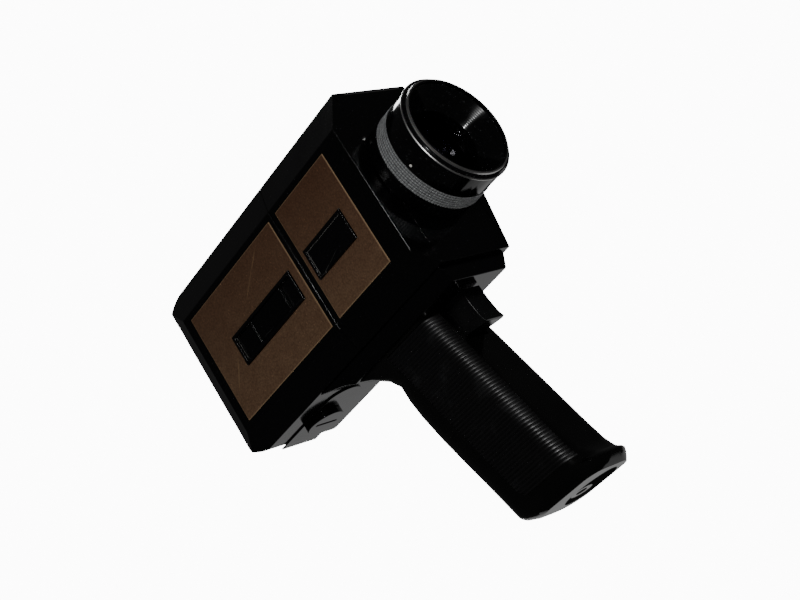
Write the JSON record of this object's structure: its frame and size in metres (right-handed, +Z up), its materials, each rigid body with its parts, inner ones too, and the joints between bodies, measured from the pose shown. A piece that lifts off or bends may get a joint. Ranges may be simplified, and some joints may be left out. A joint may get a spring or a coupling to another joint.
{
  "type": "movie camera with pistol grip",
  "caption": "Hand-held film movie camera: faceted black body with leatherette panels, zoom lens with knurled ring and hood, ribbed pistol grip with trigger, film door with sliding latch.",
  "frame": {"origin": "mouth of the tripod socket, at the middle of the grip's foot", "axes": "+Z up along the camera's height, -Y along the lens towards the scene, -X towards the film door"},
  "size_m": [0.0655, 0.1959, 0.1883],
  "materials": {
    "black_enamel": "gloss",
    "black_anodised": "satin",
    "knurled_grey": "satin",
    "bright_trim": "polished",
    "brown_leatherette": "matte",
    "grip_black": "matte",
    "grip_rubber": "ribbed matte",
    "black_plastic": "semi gloss",
    "inside_black": "matte",
    "optical_glass": "coated",
    "clear_window": "polished",
    "eyecup_rubber": "soft matte",
    "spring_steel": "brushed",
    "machined_steel": "satin",
    "brass": "satin",
    "motor_case": "satin",
    "board_green": "satin",
    "dial_white": "matte",
    "cell_case": "gloss"
  },
  "bodies": {
    "root": {"main_body": "black_enamel", "right_cover": "black_enamel", "left_cover": "black_enamel", "top_cover": "black_enamel", "front_plate": "black_enamel", "front_trim": "bright_trim", "front_panel": "brown_leatherette", "badge_frame": "bright_trim", "door_hinge_pin": "machined_steel", "lens_barrel": "black_anodised", "lens_hood": "black_anodised", "hood_ring": "bright_trim", "rim_ring": "bright_trim", "front_lens": "optical_glass", "rear_lens": "optical_glass", "lens_tube": "inside_black", "optics_block": "inside_black", "beam_prism": "optical_glass", "finder_prism": "optical_glass", "finder_tube": "inside_black", "eyepiece_tube": "black_anodised", "eyecup": "eyecup_rubber", "eyepiece_lens": "optical_glass", "film_gate": "machined_steel", "mechanism_plate": "machined_steel", "motor": "motor_case", "circuit_board": "board_green", "counter_window": "clear_window", "case_screws": "machined_steel", "grip_insert_right": "grip_rubber", "grip_insert_left": "grip_rubber", "grip_shell": "grip_black", "battery_door_pin": "machined_steel", "grip_shoe": "black_enamel", "trigger_switch": "black_plastic", "batteries": "cell_case", "battery_contacts": "spring_steel", "tripod_bush": "machined_steel", "base_plate": "black_enamel", "button_cell": "machined_steel"},
    "door": {"film_door": "black_enamel", "door_panel": "brown_leatherette", "latch_frame": "bright_trim", "cartridge_spring": "spring_steel"},
    "latch": {"latch_slider": "black_plastic"},
    "zoom_grip": {"zoom_ring": "knurled_grey"},
    "zoom_group": {"zoom_cell": "black_anodised", "zoom_lens": "optical_glass"},
    "trigger": {"trigger": "black_plastic"},
    "battery_lid": {"battery_door": "grip_black"},
    "meter_cap": {"meter_cap": "black_enamel"},
    "pinion": {"motor_pinion": "brass"},
    "idler": {"idler_gear": "brass"},
    "shutter": {"shutter": "machined_steel"},
    "drive": {"drive_shaft": "machined_steel"},
    "spindle": {"takeup_spindle": "machined_steel"},
    "claw": {"claw": "spring_steel"},
    "dioptre": {"dioptre_ring": "knurled_grey"},
    "run_knob": {"run_knob": "black_plastic"},
    "counter": {"counter_dial": "dial_white"}
  },
  "joints": [
    {"name": "door_hinge", "type": "hinge", "parent": "root", "child": "door", "pos_m": [-0.0228, 0.1315, 0.1449], "axis": [0, 0, -1], "range_deg": [0, 100]},
    {"name": "latch_slide", "type": "slide", "parent": "door", "child": "latch", "axis": [0, 1, 0], "range_m": [-0.004, 0]},
    {"name": "zoom_turn", "type": "hinge", "parent": "root", "child": "zoom_grip", "pos_m": [0, -0.0324, 0.1453], "axis": [0, 1, 0], "range_deg": [0, 120]},
    {"name": "zoom_shift", "type": "slide", "parent": "root", "child": "zoom_group", "axis": [0, 1, 0], "range_m": [0, 0.014]},
    {"name": "trigger_press", "type": "slide", "parent": "root", "child": "trigger", "axis": [0, 1, 0], "range_m": [0, 0.0035], "stiffness_N_per_m": 500, "springref_m": -0.002},
    {"name": "battery_lid_hinge", "type": "hinge", "parent": "root", "child": "battery_lid", "pos_m": [0, 0.02975, 0.014], "axis": [-1, 0, 0], "range_deg": [0, 80]},
    {"name": "meter_cap_turn", "type": "hinge", "parent": "root", "child": "meter_cap", "pos_m": [-0.0017, 0.104, 0.0994], "axis": [0, 0, 1], "range_deg": [0, 90]},
    {"name": "motor_turn", "type": "hinge", "parent": "root", "child": "pinion", "pos_m": [0.00583, 0.0215, 0.12251], "axis": [0, 1, 0], "continuous": true},
    {"name": "idler_turn", "type": "hinge", "parent": "root", "child": "idler", "pos_m": [0.01114, 0.0215, 0.12782], "axis": [0, 1, 0], "continuous": true},
    {"name": "shutter_turn", "type": "hinge", "parent": "root", "child": "shutter", "pos_m": [0.005, 0.0215, 0.1344], "axis": [0, 1, 0], "continuous": true},
    {"name": "drive_turn", "type": "hinge", "parent": "root", "child": "drive", "pos_m": [0.01728, 0.048, 0.12124], "axis": [0, 1, 0], "continuous": true},
    {"name": "spindle_turn", "type": "hinge", "parent": "root", "child": "spindle", "pos_m": [0.01, 0.071, 0.13274], "axis": [1, 0, 0], "continuous": true},
    {"name": "claw_stroke", "type": "slide", "parent": "root", "child": "claw", "axis": [0, 0, 1], "range_m": [0, 0.0042]},
    {"name": "dioptre_turn", "type": "hinge", "parent": "root", "child": "dioptre", "pos_m": [0, 0.1355, 0.1773], "axis": [0, 1, 0], "range_deg": [-60, 60]},
    {"name": "run_knob_turn", "type": "hinge", "parent": "root", "child": "run_knob", "pos_m": [0.01, 0.134, 0.1195], "axis": [0, 1, 0], "range_deg": [0, 90]},
    {"name": "counter_turn", "type": "hinge", "parent": "root", "child": "counter", "pos_m": [0.012, 0.131, 0.1445], "axis": [0, 1, 0], "range_deg": [0, 300]}
  ],
  "couplings": [
    {"joint": "zoom_shift", "follows": "zoom_turn", "m_per_rad": 0.00668},
    {"joint": "idler_turn", "follows": "motor_turn", "ratio": -0.66667},
    {"joint": "shutter_turn", "follows": "motor_turn", "ratio": 0.66667},
    {"joint": "drive_turn", "follows": "motor_turn", "ratio": 0.66667},
    {"joint": "spindle_turn", "follows": "motor_turn", "ratio": 0.018519}
  ]
}
